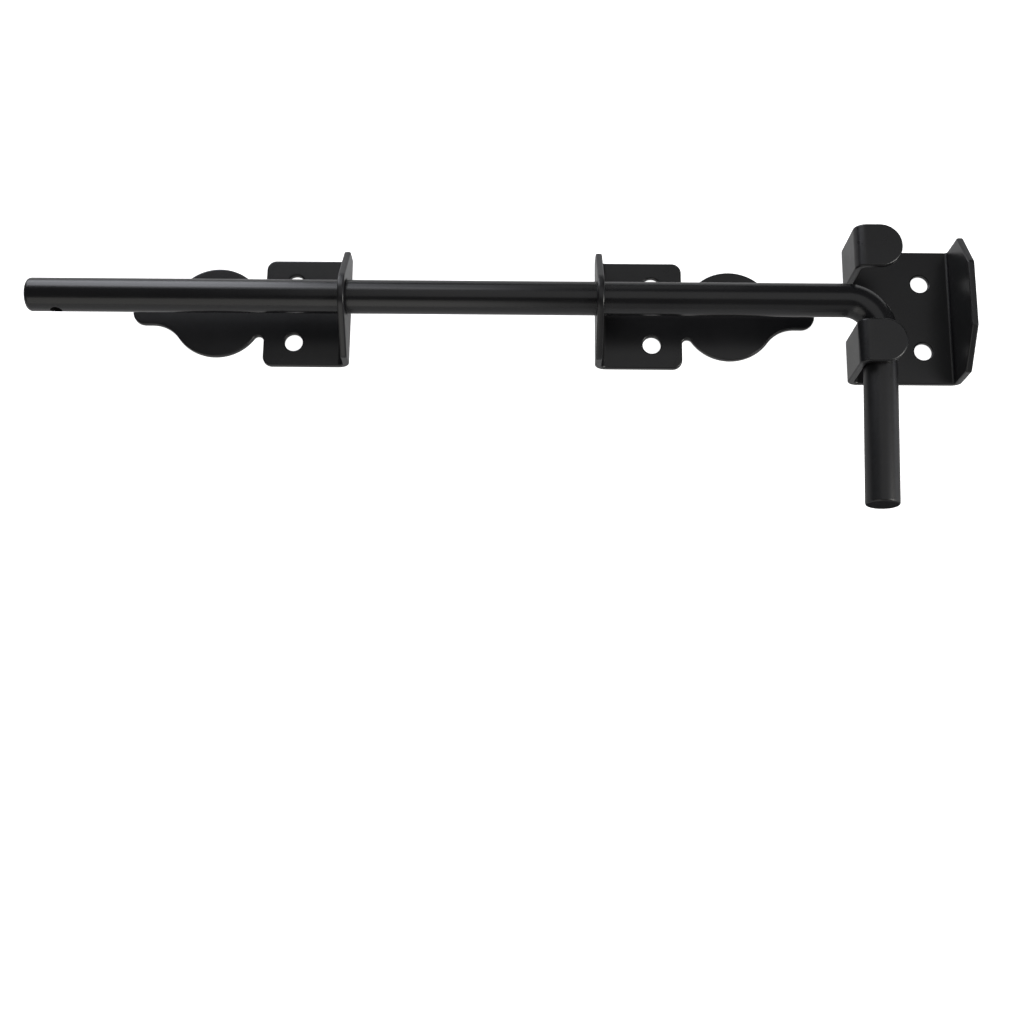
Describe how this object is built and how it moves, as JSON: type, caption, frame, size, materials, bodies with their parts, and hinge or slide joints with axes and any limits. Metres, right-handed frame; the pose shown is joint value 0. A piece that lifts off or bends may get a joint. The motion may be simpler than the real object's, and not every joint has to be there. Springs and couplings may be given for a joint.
{
  "type": "cranked drop bolt gate latch",
  "caption": "Black steel drop bolt for a gate: a cranked round bar slides through eared guides and its handle parks in a hooked keeper plate.",
  "frame": {"origin": "midway between the keeper's two screw holes, on the gate face behind the plates", "axes": "+X along the bar from its free tip towards the handle (up when the latch hangs on a gate), +Y across the gate frame away from the handle leg, +Z out of the gate face"},
  "size_m": [0.4453, 0.1337, 0.0363],
  "materials": {
    "black_coated_bar": "satin black powder coat over round steel bar",
    "black_coated_plate": "satin black powder coat over pressed steel plate"
  },
  "bodies": {
    "brackets": {"lower_guide": "black_coated_plate", "upper_guide": "black_coated_plate", "handle_keeper": "black_coated_plate"},
    "bolt": {"drop_rod": "black_coated_bar"}
  },
  "joints": [
    {"name": "bolt_lift", "type": "slide", "parent": "brackets", "child": "bolt", "axis": [1, 0, 0], "range_m": [0, 0.03]}
  ]
}
